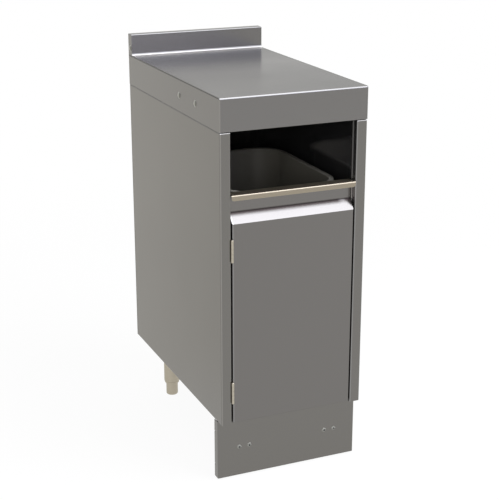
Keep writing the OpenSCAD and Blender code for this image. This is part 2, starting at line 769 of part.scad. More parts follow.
// Back sheet of the door, with flanges that reach forward inside the skin
module door_liner() color("gainsboro") placed() {
    x0 = door_x0 + door_t + sheet_gap;
    x1 = door_x1 - door_t - sheet_gap;
    z0 = door_z0 + door_t + sheet_gap;
    difference() {
        union() {
            block([door_x0, liner_y, door_z0], [door_x1, door_thick, door_z1]);
            difference() {
                block([x0, liner_y - liner_flange, z0], [x1, liner_y + fuse, slope_z0]);
                block([x0 + door_t, liner_y - liner_flange - cut, z0 + door_t],
                    [x1 - door_t, liner_y, slope_z0 + cut]);
            }
        }
        for (x = strike_rivet_xs)
            bar_y([x, liner_y - cut, strike_z], strike_rivet_d + 2 * hole_gap, door_t + 2 * cut);
    }
}

// Pull bar along the top of the door: a flat that caps the door and a lip in front of it
module door_pull() color("tan") placed() {
    lip_x0 = door_x0 - pull_overhang;
    lip_x1 = door_x1 + pull_overhang;
    lip_z0 = pull_z1 - pull_lip_h;
    intersection() {
        union() {
            along_x(lip_x0, lip_x1) difference() {
                round_rect([-pull_proud, lip_z0], [0, pull_z1], [0, 0, 0, pull_bend_r]);
                round_rect([-pull_proud + pull_t, lip_z0 - cut], [cut, door_z1],
                    [0, 0, 0, pull_bend_r - pull_t]);
            }
            block([door_x0, -fuse, door_z1], [door_x1, door_thick, pull_z1]);
        }
        along_y(-pull_proud - cut, door_thick + cut)
            round_rect([lip_x0, lip_z0], [lip_x1, pull_z1], [pull_corner_r, pull_corner_r, 0, 0]);
    }
}

// Knuckles of one leaf: every second one, from the first or from the second
knuckle_pitch = (hinge_h + knuckle_slot) / knuckles;
knuckle_l = knuckle_pitch - knuckle_slot;
module knuckle_row(first)
    for (i = [first : 2 : knuckles - 1])
        translate([0, 0, i * knuckle_pitch - hinge_h / 2]) children();

// One leaf: plate from x0, root tabs and knuckles, and a sink for each screw in its open side
module leaf(z, x0, first, sink_x, sink_way) translate([0, 0, z]) difference() {
    union() {
        block([x0, leaf_front, -hinge_h / 2], [x0 + leaf_t, leaf_d, hinge_h / 2]);
        knuckle_row(first) {
            block([x0, axis_y, 0], [x0 + leaf_t, leaf_front + fuse, knuckle_l]);
            bar_z([axis_x, axis_y, 0], knuckle_d, knuckle_l);
        }
    }
    bar_z([axis_x, axis_y, -hinge_h], pin_d + 2 * pin_gap, 2 * hinge_h);
    for (s = [-1, 1]) translate([sink_x, hinge_screw_y, s * hinge_screw_pitch / 2])
        screw_body(sink_way, hole_gap);
}

// Countersunk screw along x; way is 1 where it points to the right and -1 to the left
module screw_body(way, gap) rotate([0, 90 * way, 0]) {
    head_r = sink_share * hinge_screw_d + gap;
    shank_r = hinge_screw_d / 2 + gap;
    cylinder(r1 = head_r, r2 = shank_r, h = leaf_t);
    cylinder(r = shank_r, h = leaf_t + body_t + hinge_screw_tip);
    if (gap > 0) translate([0, 0, -cut]) cylinder(r = head_r, h = cut);
}

// Left faces of the two leaves' plates
frame_leaf_x = stile_w;
door_leaf_x = door_x0 - leaf_t;

module frame_leaf(z) color("tan") placed() leaf(z, frame_leaf_x, 0, frame_leaf_x + leaf_t, -1);
module door_leaf(z) color("tan") placed() leaf(z, door_leaf_x, 1, door_leaf_x, 1);

// Hinge pin with a domed head at each end
module hinge_pin(z) color("tan") placed() translate([axis_x, axis_y, z]) {
    bar_z([0, 0, -hinge_h / 2 - fuse], pin_d, hinge_h + 2 * fuse);
    for (m = [0, 1])
        mirror([0, 0, m]) translate([0, 0, hinge_h / 2]) dome(knuckle_d - sheet_gap, pin_head_h);
}

module upper_frame_leaf() frame_leaf(upper_hinge_z);
module upper_door_leaf() door_leaf(upper_hinge_z);
module upper_hinge_pin() hinge_pin(upper_hinge_z);
module lower_frame_leaf() frame_leaf(lower_hinge_z);
module lower_door_leaf() door_leaf(lower_hinge_z);
module lower_hinge_pin() hinge_pin(lower_hinge_z);

// Countersunk screws of the leaves: into the stile's return and into the door's edge
module frame_leaf_screws() color("silver") placed()
    for (z = hinge_screw_zs)
        translate([frame_leaf_x + leaf_t, hinge_screw_y, z]) screw_body(-1, 0);
module door_leaf_screws() color("silver") placed()
    for (z = hinge_screw_zs)
        translate([door_leaf_x, hinge_screw_y, z]) screw_body(1, 0);

// Catch housing on the floor pan, with a pocket for the magnet and a screw ear at each end
module catch_housing() color("dimgray") placed() {
    half = catch_l / 2;
    z0 = pan_z;
    pocket_l = magnet_l + sheet_gap;
    pocket_h = magnet_h + sheet_gap;
    difference() {
        union() {
            block([catch_x - half + catch_ear, catch_y, z0],
                [catch_x + half - catch_ear, catch_y + catch_w, z0 + catch_h]);
            along_z(z0, z0 + catch_ear_h)
                round_rect([catch_x - half, catch_y + catch_ear_back],
                    [catch_x + half, catch_y + catch_w], catch_corner_r * [1, 1, 1, 1]);
        }
        block([catch_x - pocket_l / 2, catch_y - cut, strike_z - pocket_h / 2],
            [catch_x + pocket_l / 2, catch_y + magnet_d + sheet_gap, strike_z + pocket_h / 2]);
        for (x = catch_screw_xs)
            bar_z([x, catch_screw_y, z0 - cut], catch_screw_d + 2 * hole_gap, catch_h + 2 * cut);
    }
}

// Bar magnet in the housing's pocket
module catch_magnet() color("gray") placed()
    block([catch_x - magnet_l / 2, catch_y - magnet_proud, strike_z - magnet_h / 2],
        [catch_x + magnet_l / 2, catch_y + magnet_d, strike_z + magnet_h / 2]);

// Screws that hold the catch down on the floor pan
module catch_screws() color("silver") placed()
    for (x = catch_screw_xs)
        translate([x, catch_screw_y, pan_z]) {
            bar_z([0, 0, -body_t - catch_screw_tip], catch_screw_d,
                body_t + catch_screw_tip + catch_ear_h + fuse);
            translate([0, 0, catch_ear_h]) dome(2 * catch_screw_d, catch_head_h);
        }

// Steel plate on the door's back that meets the magnet
module strike_plate() color("silver") placed() difference() {
    along_y(door_thick, door_thick + strike_t)
        round_rect([catch_x - strike_l / 2, strike_z - strike_h / 2],
            [catch_x + strike_l / 2, strike_z + strike_h / 2], catch_corner_r * [1, 1, 1, 1]);
    for (x = strike_rivet_xs)
        bar_y([x, door_thick - cut, strike_z], strike_rivet_d + 2 * hole_gap, strike_t + 2 * cut);
}

// Rivets that hold the strike plate, flush with its face
module strike_rivets() color("silver") placed()
    for (x = strike_rivet_xs) {
        bar_y([x, liner_y - strike_tail_h, strike_z], strike_rivet_d, door_t + strike_t + strike_tail_h);
        bar_y([x, liner_y - strike_tail_h, strike_z], strike_tail_d, strike_tail_h);
    }

// Rubber bumpers at the foot of the door, which meet the pan's front edge
module door_bumpers() color("black") placed()
    for (x = [door_x0 + bumper_in, catch_x])
        translate([x, door_thick, (door_z0 + pan_z) / 2])
            facing_back() cylinder(d1 = bumper_d, d2 = bumper_d - bumper_t, h = bumper_t);

// Waste bin: its middle, its front, and its heights
bin_w = cabinet_w - 2 * stile_w - 2 * bin_side_gap;
bin_x = cabinet_w / 2;
bin_y0 = door_thick + bin_front_gap;
bin_z0 = pan_z + bin_foot_gap;
bin_z1 = pull_z1 - bin_rim_drop;

// Upright pegs at the corners of the bin, inset on all sides, for a hull around them
module bin_pegs(inset, z) {
    r = bin_corner_r - inset;
    for (x = [bin_x - bin_w / 2 + inset + r, bin_x + bin_w / 2 - inset - r],
        y = [bin_y0 + inset + r, bin_y0 + bin_d - inset - r])
            translate([x, y, z]) cylinder(r = r, h = peg_h, $fn = 48);
}

// Outline of the bin's rim, taken in by inset
module rim_outline(inset) {
    r = bin_corner_r - inset;
    round_rect([bin_x - bin_w / 2 + inset, bin_y0 + inset],
        [bin_x + bin_w / 2 - inset, bin_y0 + bin_d - inset], [r, r, r, r], $fn = 48);
}

// Tapered plastic tub with a turned down rim
module waste_bin() color("darkslategray") placed() difference() {
    union() {
        hull() {
            bin_pegs(bin_rim_w - bin_wall, bin_z1 - peg_h);
            bin_pegs(bin_rim_w - bin_wall + bin_taper, bin_z0);
        }
        along_z(bin_z1 - bin_wall, bin_z1) rim_outline(0);
        along_z(bin_z1 - bin_rim_h, bin_z1) difference() {
            rim_outline(0);
            rim_outline(bin_wall);
        }
    }
    hull() {
        bin_pegs(bin_rim_w, bin_z1 + cut);
        bin_pegs(bin_rim_w + bin_taper, bin_z0 + bin_wall);
    }
}

worktop();
top_channels();
top_bolts();
hole_plugs();
left_side_panel();
right_side_panel();
rear_panel();
rear_rivets();
bottom_pan();
leg_plates();
leg_screws();
leg_tubes();
leg_inserts();
front_left_foot();
front_right_foot();
rear_left_foot();
rear_right_foot();
kick_plate();
kick_clips();
kick_screws();
kick_nuts();
door_skin();
door_liner();
door_pull();
upper_frame_leaf();
upper_door_leaf();
upper_hinge_pin();
lower_frame_leaf();
lower_door_leaf();
lower_hinge_pin();
frame_leaf_screws();
door_leaf_screws();
catch_housing();
catch_magnet();
catch_screws();
strike_plate();
strike_rivets();
door_bumpers();
waste_bin();
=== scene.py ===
# %% [markdown]
# An underbar cabinet in stainless steel
#
# Behind a bar stands a row of narrow steel cabinets. This one takes waste: it is dropped
# through the open chute over the door and falls into a bin. The steel pieces come from a
# solid model and stay as they are. Here they get their finishes, the bin is modelled again
# as the moulded tub it really is, and all of it stands in soft studio light.

# %% Load the solid model as a fixed frame
import math

import bmesh
import bpy
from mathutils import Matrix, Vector


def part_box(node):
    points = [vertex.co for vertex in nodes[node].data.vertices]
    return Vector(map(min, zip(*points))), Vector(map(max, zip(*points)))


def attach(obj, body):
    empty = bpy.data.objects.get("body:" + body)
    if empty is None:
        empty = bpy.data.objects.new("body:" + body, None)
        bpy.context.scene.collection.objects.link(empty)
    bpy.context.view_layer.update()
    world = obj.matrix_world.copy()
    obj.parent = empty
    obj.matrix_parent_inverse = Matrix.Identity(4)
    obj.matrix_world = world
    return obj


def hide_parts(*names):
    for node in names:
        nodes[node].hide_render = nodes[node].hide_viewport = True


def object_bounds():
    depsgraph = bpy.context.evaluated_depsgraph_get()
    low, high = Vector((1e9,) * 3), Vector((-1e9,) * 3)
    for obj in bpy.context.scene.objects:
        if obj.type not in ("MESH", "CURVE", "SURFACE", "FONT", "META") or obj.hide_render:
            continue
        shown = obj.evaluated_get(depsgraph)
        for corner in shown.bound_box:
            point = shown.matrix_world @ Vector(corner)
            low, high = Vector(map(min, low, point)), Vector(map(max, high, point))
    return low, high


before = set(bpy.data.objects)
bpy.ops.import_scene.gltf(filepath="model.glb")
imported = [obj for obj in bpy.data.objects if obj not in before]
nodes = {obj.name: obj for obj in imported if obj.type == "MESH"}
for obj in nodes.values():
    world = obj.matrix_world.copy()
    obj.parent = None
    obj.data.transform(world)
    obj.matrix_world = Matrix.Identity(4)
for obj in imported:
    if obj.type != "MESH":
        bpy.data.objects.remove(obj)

cad_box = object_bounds()
print("Pieces from the solid model:", len(nodes))
print("Size in metres:", [round(v, 4) for v in cad_box[1] - cad_box[0]])

# %% [markdown]
# The camera
#
# A photograph can be matched by eye, or a camera can be worked out from it. Here the corners
# of the cabinet were measured in the picture, and the place, the direction and the focal
# length that put the model's corners on them were worked out once. They are written as a
# place in metres, two angles and a focal length in pixels of the 500 pixel high picture.

# %% Camera
PICTURE_H = 500
FOCAL_PX = 1239.69
SENSOR = 36
CAMERA_AT = (-1.1384, -2.69176, 1.43405)
CAMERA_TURN = 0.4074    # to the right of straight ahead, in radians
CAMERA_DIP = 0.32091    # below the horizon, in radians

camera_data = bpy.data.cameras.new("photo_camera")
camera_data.sensor_width = SENSOR
camera_data.lens = FOCAL_PX * SENSOR / PICTURE_H
camera = bpy.data.objects.new("photo_camera", camera_data)
bpy.context.scene.collection.objects.link(camera)
camera.location = CAMERA_AT
camera.rotation_euler = (math.pi / 2 - CAMERA_DIP, 0, -CAMERA_TURN)
bpy.context.scene.camera = camera
bpy.context.scene.view_settings.view_transform = "Standard"
print("Lens in millimetres:", round(camera_data.lens, 2))

# %% [markdown]
# Shader maths that reads like Python
#
# A finish is a handful of small sums: grain plus smudges, a mask times a colour. Wiring each
# sum by hand hides the idea, so one small class wraps a socket and lets it stand in ordinary
# expressions. Every other node comes from one method of the graph.


# %% A socket that can stand in a sum, and the graph it belongs to
class Value:
    """One output of a node. Sums with it add Math nodes."""

    def __init__(self, graph, socket):
        self.graph = graph
        self.socket = socket

    def maths(self, operation, first, second=0.0):
        return self.graph.node("Math", {"operation": operation}, {0: first, 1: second})

    def __add__(self, other):
        return self.maths("ADD", self, other)

    def __radd__(self, other):
        return self.maths("ADD", other, self)

    def __sub__(self, other):
        return self.maths("SUBTRACT", self, other)

    def __rsub__(self, other):
        return self.maths("SUBTRACT", other, self)

    def __mul__(self, other):
        return self.maths("MULTIPLY", self, other)

    def __rmul__(self, other):
        return self.maths("MULTIPLY", other, self)

    def __gt__(self, other):
        return self.maths("GREATER_THAN", self, other)

    def __lt__(self, other):
        return self.maths("LESS_THAN", self, other)

    def __abs__(self):
        return self.maths("ABSOLUTE", self)


class Graph:
    """The nodes of one material or of the world."""

    def __init__(self, owner):
        owner.use_nodes = True
        self.tree = owner.node_tree
        self.tree.nodes.clear()

    def node(self, kind, settings=None, inputs=None, output=0):
        """Adds a node, sets it up, feeds its sockets and returns one of its outputs."""
        made = self.tree.nodes.new("ShaderNode" + kind)
        for name, value in (settings or {}).items():
            if name == "stops":
                self.set_stops(made.color_ramp, value)
            else:
                setattr(made, name, value)
        for name, value in (inputs or {}).items():
            if isinstance(value, Value):
                self.tree.links.new(value.socket, made.inputs[name])
            else:
                made.inputs[name].default_value = value
        return Value(self, made.outputs[output]) if made.outputs else None

    def set_stops(self, ramp, stops):
        """Gives a ramp its stops, each a place and a grey level or colour."""
        while len(ramp.elements) > len(stops):
            ramp.elements.remove(ramp.elements[-1])
        while len(ramp.elements) < len(stops):
            ramp.elements.new(1.0)
        for element, (place, colour) in zip(ramp.elements, stops):
            element.position = place
            element.color = rgba(colour)

    def mix(self, share, first, second):
        """The colour that lies at a share of the way from the first to the second."""
        colours = [c if isinstance(c, Value) else rgba(c) for c in (first, second)]
        return self.node("Mix", {"data_type": "RGBA"}, {0: share, 6: colours[0], 7: colours[1]}, 2)

    def place(self):
        """Object coordinates, which stay with the piece when it moves."""
        return self.node("TexCoord", output="Object")

    def axes(self):
        """The three Object coordinates as three values in metres."""
        split = self.node("SeparateXYZ", inputs={0: self.place()})
        return [Value(self, s) for s in split.socket.node.outputs]

    def noise(self, scale, detail=2.0, along=(1, 1, 1), turn=(0, 0, 0)):
        """Soft noise with so many grains to the metre, turned, then stretched by the factors."""
        turned = self.node("Mapping", inputs={"Vector": self.place(), "Rotation": turn})
        vector = self.node("Mapping", inputs={"Vector": turned, "Scale": along})
        return self.node("TexNoise", inputs={"Vector": vector, "Scale": scale, "Detail": detail})

    def bump(self, height, depth, strength=1.0):
        """Surface relief of a depth in metres."""
        return self.node("Bump", inputs={"Strength": strength, "Distance": depth, "Height": height})


def rgba(colour):
    """A grey level or a colour as four numbers."""
    if isinstance(colour, (int, float)):
        colour = (colour,) * 3
    return (*colour, 1.0)[:4]


# %% [markdown]
# Studio light
#
# Steel shows what stands around it more than its own colour, so the room is part of the
# finish. The front and the left side mirror the pale floor and the worktop mirrors the wall
# behind. The slope under the pull bar, the cove and the front edge mirror what hangs up in
# front, and in the picture all three shine: there a bluish white cloth is spread from above
# eye level to past the ceiling, with a dim strip of room under it and a dimmer room to its
# left and right. Such a cloth can be a lamp, but then it would also flood everything matt.
# Here mirrors see it and matt surfaces see an even grey, and two softboxes add the rest of
# the light, so that a colour comes out at about the level at which it is written.

# %% World: what the camera, the mirrors and the matt surfaces see
ROOM_GREY = 0.5
CLOTH_GLOW = 5.8
CLOTH = (0.9, 0.92, 1.0)
CLOTH_HEM = (0.8, 0.84, 1.0)
HEM_GLOW = 3.4
CLOTH_AT = 0.376                # middle of the cloth, as the sideways part of a direction
CLOTH_SIDES = (0.16, 0.34)      # how far from its middle it starts to end, and has ended
BESIDE = (1.6, 1.6, 1.7)
DIM_STRIP = (0.5, 0.43, 0.42)


def room_stop(degrees, colour, level=1.0):
    """A stop of the ramp that runs from behind, under the floor, up the front and over."""
    return (degrees / 360 + 0.5, [v * level / CLOTH_GLOW for v in colour])


WHITE = (1, 1, 1)
WALL = (0.79, 0.79, 0.78)
room_stops = [room_stop(-180, WALL), room_stop(-100, WALL),
              room_stop(-60, WHITE), room_stop(-3, WHITE),
              room_stop(-1, DIM_STRIP), room_stop(9, DIM_STRIP),
              room_stop(12, CLOTH_HEM, HEM_GLOW), room_stop(26, CLOTH_HEM, HEM_GLOW),
              room_stop(32, CLOTH, CLOTH_GLOW), room_stop(105, CLOTH, CLOTH_GLOW),
              room_stop(130, WALL), room_stop(180, WALL)]

world = bpy.data.worlds.new("studio_room")
bpy.context.scene.world = world
room = Graph(world)
split = room.node("SeparateXYZ", inputs={0: room.node("TexCoord", output="Generated")})
way = [Value(room, s) for s in split.socket.node.outputs]
over = room.node("Math", {"operation": "ARCTAN2"}, {0: way[2], 1: 0 - way[1]})
ramp = room.node("ValToRGB", {"stops": room_stops}, {0: over * (0.5 / math.pi) + 0.5})
ramp = room.node("VectorMath", {"operation": "SCALE"}, {0: ramp, "Scale": CLOTH_GLOW})
aside = room.node("MapRange", {"interpolation_type": "SMOOTHSTEP"},
                  {"Value": abs(way[0] - CLOTH_AT), "From Min": CLOTH_SIDES[0], "From Max": CLOTH_SIDES[1]})
beside = room.node("VectorMath", {"operation": "MINIMUM"}, {0: ramp, 1: BESIDE})
mirrored = room.mix(aside, ramp, beside)
path = room.node("LightPath")
seen = [Value(room, path.socket.node.outputs[n]) for n in
        ("Is Camera Ray", "Is Glossy Ray", "Is Transmission Ray")]
colour = room.mix(seen[1], room.mix(seen[0] + seen[2], ROOM_GREY, 1.0), mirrored)
room.node("OutputWorld", inputs={"Surface": room.node("Background", inputs={"Color": colour})})
print("Room grey for matt surfaces:", ROOM_GREY)

# %% Softboxes for everything that is not a mirror
CENTRE = (cad_box[0] + cad_box[1]) / 2


def softbox(name, way, distance, width, height, glow, tint=WHITE):
    """A square lamp that faces the cabinet's middle; glow is how bright its face looks."""
    data = bpy.data.lights.new(name, "AREA")
    data.shape = "RECTANGLE"
    data.size = width
    data.size_y = height
    data.color = tint
    data.energy = glow * math.pi * width * height
    lamp = bpy.data.objects.new(name, data)
    bpy.context.scene.collection.objects.link(lamp)
    lamp.location = CENTRE + Vector(way).normalized() * distance
    lamp.rotation_euler = (-Vector(way)).to_track_quat("-Z", "Y").to_euler()
    lamp.visible_glossy = False
    print(name, round(data.energy, 1), "watts")


softbox("high_softbox", (0.376, -0.46, 0.81), distance=3.0, width=1.9, height=1.9, glow=4.8,
        tint=(0.97, 0.98, 1.0))
softbox("front_softbox", (-0.5, -0.82, 0.28), distance=3.2, width=1.2, height=0.9, glow=8.0)

# %% [markdown]
# Floor
#
# A pale floor runs far past the picture on all sides. Most of what the camera and the mirrors
# see of it is plain glow, so it melts into the white background and still takes a soft shadow
# close to the cabinet. Far out the glow takes over altogether. Upright steel mirrors this
# floor, and the tint of its glow is what tells the left side from the front in the picture.

# %% Floor
FLOOR_W = 48
FLOOR_PAINT = 0.82
FLOOR_GLOW = 0.88
FLOOR_NEAR = 1.3        # metres from the cabinet, up to where the paint still shows
FLOOR_FAR = 2.6         # from where the floor is all glow
PICTURE_WHITE = 1.05
MIRROR_FRONT = (1.0, 1.0, 1.0)
MIRROR_BACK = (0.887, 0.87, 0.827)
MIRROR_TURN = 0.6       # half the way over which the front tint turns into the back tint

bpy.ops.object.select_all(action="DESELECT")
bpy.ops.mesh.primitive_plane_add(size=FLOOR_W, location=(0, 0, 0))
floor = bpy.context.object
floor.name = "studio_floor"
paint = bpy.data.materials.new("floor_paint")
floor.data.materials.append(paint)
graph = Graph(paint)
distance = graph.node("VectorMath", {"operation": "LENGTH"}, {0: graph.place()}, "Value")
far = graph.node("MapRange", {"interpolation_type": "SMOOTHSTEP"},
                 {"Value": distance, "From Min": FLOOR_NEAR, "From Max": FLOOR_FAR})
path = graph.node("LightPath")
camera_ray = Value(graph, path.socket.node.outputs["Is Camera Ray"])
glossy_ray = Value(graph, path.socket.node.outputs["Is Glossy Ray"])
depth = graph.node("MapRange", {"interpolation_type": "SMOOTHSTEP"},
                   {"Value": graph.axes()[1], "From Min": -MIRROR_TURN, "From Max": MIRROR_TURN})
white = camera_ray * (1 - far) * (PICTURE_WHITE - 1) + 1
mirrored = graph.mix(depth, MIRROR_FRONT, MIRROR_BACK)
shine = graph.node("VectorMath", {"operation": "SCALE"},
                   {0: graph.mix(glossy_ray, 1.0, mirrored), "Scale": white})
matt = graph.node("BsdfDiffuse", inputs={"Color": rgba(FLOOR_PAINT)})
glow = graph.node("Emission", inputs={"Color": shine})
share = (camera_ray + glossy_ray) * (far * (1 - FLOOR_GLOW) + FLOOR_GLOW)
shader = graph.node("MixShader", inputs={0: share, 1: matt, 2: glow})
graph.node("OutputMaterial", inputs={"Surface": shader})
print("Floor in metres:", [round(v, 1) for v in floor.dimensions])

# %% [markdown]
# Satin stainless steel
#
# The sheet leaves the mill with a fine even grain from an abrasive belt. Close up it is a
# field of hair-thin scratches that all run one way; from a step away it is a soft satin
# sheen. A picture of such a sheet could be wrapped around the pieces, but its grain would
# turn with each wrap. Noise on Object coordinates, stretched far along the belt's way, gives
# every sheet its own scratches in the right direction, and the same noise drives colour,
# roughness and relief, as the same scratches do on the real sheet.

# %% Brushed steel
HAIRS, HAIR_STRETCH = 2200, 60          # scratches to the metre, and how many times longer than wide
STREAKS, STREAK_STRETCH = 260, 25
CLOUDS = 7
HAIR_UNEVEN = 0.08                      # how much the scratches change the roughness
CLOUD_UNEVEN = 0.05


def steel(name, colour, belt="z", roughness=0.22, grain_depth=0.000006, tone=0.03, metallic=1.0,
          turn=(0, 0, 0)):
    """Satin sheet: belt is the axis along which the scratches run, before they are turned."""
    material = bpy.data.materials.new(name)
    graph = Graph(material)
    fine = [1.0 / HAIR_STRETCH if axis == belt else 1.0 for axis in "xyz"]
    long = [1.0 / STREAK_STRETCH if axis == belt else 1.0 for axis in "xyz"]
    hair = graph.noise(HAIRS, 3.0, fine, turn)
    streak = graph.noise(STREAKS, 2.0, long, turn)
    cloud = graph.noise(CLOUDS, 1.0)
    shade = (hair - 0.5) * tone + (streak - 0.5) * tone + 0.5
    darker = [v * (1 - tone) for v in colour]
    lighter = [v * (1 + tone) for v in colour]
    surface = {
        "Base Color": graph.mix(shade, darker, lighter),
        "Metallic": metallic,
        "Roughness": (hair - 0.5) * HAIR_UNEVEN + (cloud - 0.5) * CLOUD_UNEVEN + roughness,
        "Normal": graph.bump(hair, grain_depth),
    }
    return material, graph, surface


def close(material, graph, surface):
    """Puts the surface values on a Principled shader and ends the material."""
    shader = graph.node("BsdfPrincipled", inputs=surface)
    graph.node("OutputMaterial", inputs={"Surface": shader})
    return material


def dress(material, *names):
    """Gives a material to nodes of the solid model."""
    for name in names:
        slots = nodes[name].data.materials
        slots.clear()
        slots.append(material)
    print(material.name, "on", len(names), "pieces")


# %% Sizes and tones that several sheets share
SKIN_DEPTH = 0.0007     # how far in from the outer faces a sheet's outside reaches
# Colour of the painted highlight on the left front bends of the worktop and the body
BEND_HIGHLIGHT_STEEL = (0.272, 0.262, 0.246)

# %% [markdown]
# Worktop
#
# The worktop is folded from one sheet, and its belt marks run across the cabinet. Along the
# left and the right edge of the deck the skirts are welded on and ground flush, which leaves
# a thin dull line. The cove at the splash's foot has painted shade on its upper half and a
# painted highlight on its lower half. The deck has a painted reflection that makes it paler
# behind the middle than at its rear, and painted shade towards its right. The skirt's left
# front bend has a painted highlight. All of this is thin or soft, so masks on the Object
# coordinates put it there more cleanly than separate pieces could.

# %% Worktop steel: ground welds, painted shade and highlight in the cove, painted reflection and shade on the deck
TOP_STEEL = (0.203, 0.197, 0.19)
SPLASH_H = 0.053
SPLASH_D = 0.0254
WELD_W = 0.002
WELD_DROP = 0.0032      # how far the weld reaches down the skirt,
WELD_RISE = 0.0005      # and up the foot of the splash
WELD_TONE = 0.6
WELD_ROUGHER = 0.15
TOP_BEND_HIGHLIGHT_W = 0.0024
top_low, top_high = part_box("worktop")
deck_z = top_high.z - SPLASH_H
splash_y = top_high.y - SPLASH_D

# Painted light on the deck by the distance in millimetres from the splash, less the height over
# the deck: painted shade on the upper half of the cove, a painted highlight on its lower half,
# painted shade on a rim before it, a painted reflection over the middle
DECK_PAINTED_LIGHT = [(-8, 1.08), (-6.5, 0.65), (-3, 0.65), (5, 2.9), (12, 2.9), (24, 1.3), (36, 0.82), (110, 1.03),
       (210, 1.37), (380, 1.0)]
PAINTED_LIGHT_TOP = 3.3           # a ramp ends at 1, so the tones are divided by this and multiplied after it
PAINTED_LIGHT_SPAN = (-0.01, 0.44)
RIGHT_PAINTED_SHADE = 0.84
RIGHT_SHADE_SPAN = (-0.13, 0.1)
DECK_SKIN = 0.0015
SPLASH_SKIN = 0.0003

material, graph, surface = steel("worktop_steel", TOP_STEEL, "x", 0.24)
x, y, z = graph.axes()
span = PAINTED_LIGHT_SPAN[1] - PAINTED_LIGHT_SPAN[0]
stops = [((mm / 1000 - PAINTED_LIGHT_SPAN[0]) / span, tone / PAINTED_LIGHT_TOP) for mm, tone in DECK_PAINTED_LIGHT]
along = (splash_y - y) - (z - deck_z)
deck_painted_light = graph.node("ValToRGB", {"stops": stops}, {0: (along - PAINTED_LIGHT_SPAN[0]) * (1 / span)})
# Painted shade that darkens the deck towards its right
right_painted_shade = graph.node("MapRange", inputs={"Value": x, "From Min": RIGHT_SHADE_SPAN[0], "From Max": RIGHT_SHADE_SPAN[1],
                                          "To Min": 1.0, "To Max": RIGHT_PAINTED_SHADE})
on_deck = (z > deck_z - DECK_SKIN) * (y < splash_y + SPLASH_SKIN)
# The deck's colour is scaled by its painted reflection, highlight and shade
tone = deck_painted_light * PAINTED_LIGHT_TOP * right_painted_shade * on_deck + (1 - on_deck)
surface["Base Color"] = graph.node("VectorMath", {"operation": "SCALE"},
                                   {0: surface["Base Color"], "Scale": tone})
weld = (abs(x) > top_high.x - WELD_W) * (z > deck_z - WELD_DROP) * (z < deck_z + WELD_RISE)
ground = [v * WELD_TONE for v in TOP_STEEL]
surface["Base Color"] = graph.mix(weld, surface["Base Color"], ground)
surface["Roughness"] = surface["Roughness"] + weld * WELD_ROUGHER
# Painted highlight on the left front bend of the worktop's skirt
bend_highlight = (x < top_low.x + TOP_BEND_HIGHLIGHT_W) * (y < top_low.y + SKIN_DEPTH) * (1 - weld)
surface["Base Color"] = graph.mix(bend_highlight, surface["Base Color"], BEND_HIGHLIGHT_STEEL)
dress(close(material, graph, surface), "worktop")

# %% [markdown]
# Body
#
# The side panels are belted on the outside only. Inside they keep the brighter, smoother skin
# of the mill, and the inner faces of the two side walls get painted light. The stiles' front
# faces get a painted highlight along their inner edges, the left front bend gets one, and at
# the height of the door's strip the stile's return gets one too. One sheet carries all of
# these, so one material does too, with a mask for each place.

# %% Steel of the body, with its mill skin inside, painted light on the inner side walls and painted highlights on its edges
BODY_STEEL = (0.193, 0.186, 0.174)
MILL_STEEL = (0.26, 0.255, 0.25)
MILL_ROUGHNESS = 0.13
MILL_HAZE = 0.08            # share that the mill skin lacks of a full metal
SIDE_PAINTED_LIGHT_STEEL = (0.56, 0.56, 0.575)
SIDE_HAZE = 0.03
SIDE_DEPTH = 0.005
RETURN_HIGHLIGHT_STEEL = (0.42, 0.4, 0.39)
RETURN_HIGHLIGHT_FROM, RETURN_HIGHLIGHT_TO = 0.656, 0.696
RETURN_W = 0.003
STILE_W = 0.0254
STILE_EDGE_W = 0.0026
RIGHT_EDGE_HIGHLIGHT_STEEL = (0.272, 0.266, 0.26)
LEFT_EDGE_HIGHLIGHT_STEEL = (0.217, 0.209, 0.196)
BEND_HIGHLIGHT_W = 0.0031

body_low, body_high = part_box("left_side_panel")[0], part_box("right_side_panel")[1]
back_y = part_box("rear_panel")[1].y
stile_edge = body_high.x - STILE_W
material, graph, surface = steel("body_steel", BODY_STEEL)
x, y, z = graph.axes()
inside = (abs(x) < body_high.x - SKIN_DEPTH) * (y > body_low.y + SKIN_DEPTH) * (y < back_y - SKIN_DEPTH)
# Painted light: the inner faces of the side walls get a far paler colour, so they look lit
painted_lit_side = inside * (abs(x) > body_high.x - SIDE_DEPTH)
# Painted highlight on the stile's return at the height of the door's strip
return_highlight = inside * (abs(x) < stile_edge + RETURN_W) * (z > RETURN_HIGHLIGHT_FROM) * (z < RETURN_HIGHLIGHT_TO)
surface["Base Color"] = graph.mix(inside, surface["Base Color"], MILL_STEEL)
surface["Base Color"] = graph.mix(painted_lit_side, surface["Base Color"], SIDE_PAINTED_LIGHT_STEEL)
surface["Base Color"] = graph.mix(return_highlight, surface["Base Color"], RETURN_HIGHLIGHT_STEEL)
surface["Roughness"] = surface["Roughness"] * (1 - inside) + inside * MILL_ROUGHNESS
surface["Metallic"] = 1 - inside * MILL_HAZE + painted_lit_side * (MILL_HAZE - SIDE_HAZE)
foremost = y < body_low.y + SKIN_DEPTH
edge_middle = stile_edge + STILE_EDGE_W / 2
# Painted highlights along the inner edge of each stile's front face
right_edge_highlight = (abs(x - edge_middle) < STILE_EDGE_W / 2) * (1 - inside)
surface["Base Color"] = graph.mix(right_edge_highlight, surface["Base Color"], RIGHT_EDGE_HIGHLIGHT_STEEL)
left_edge_highlight = (abs(x + edge_middle) < STILE_EDGE_W / 2) * (1 - inside) * foremost
surface["Base Color"] = graph.mix(left_edge_highlight, surface["Base Color"], LEFT_EDGE_HIGHLIGHT_STEEL)
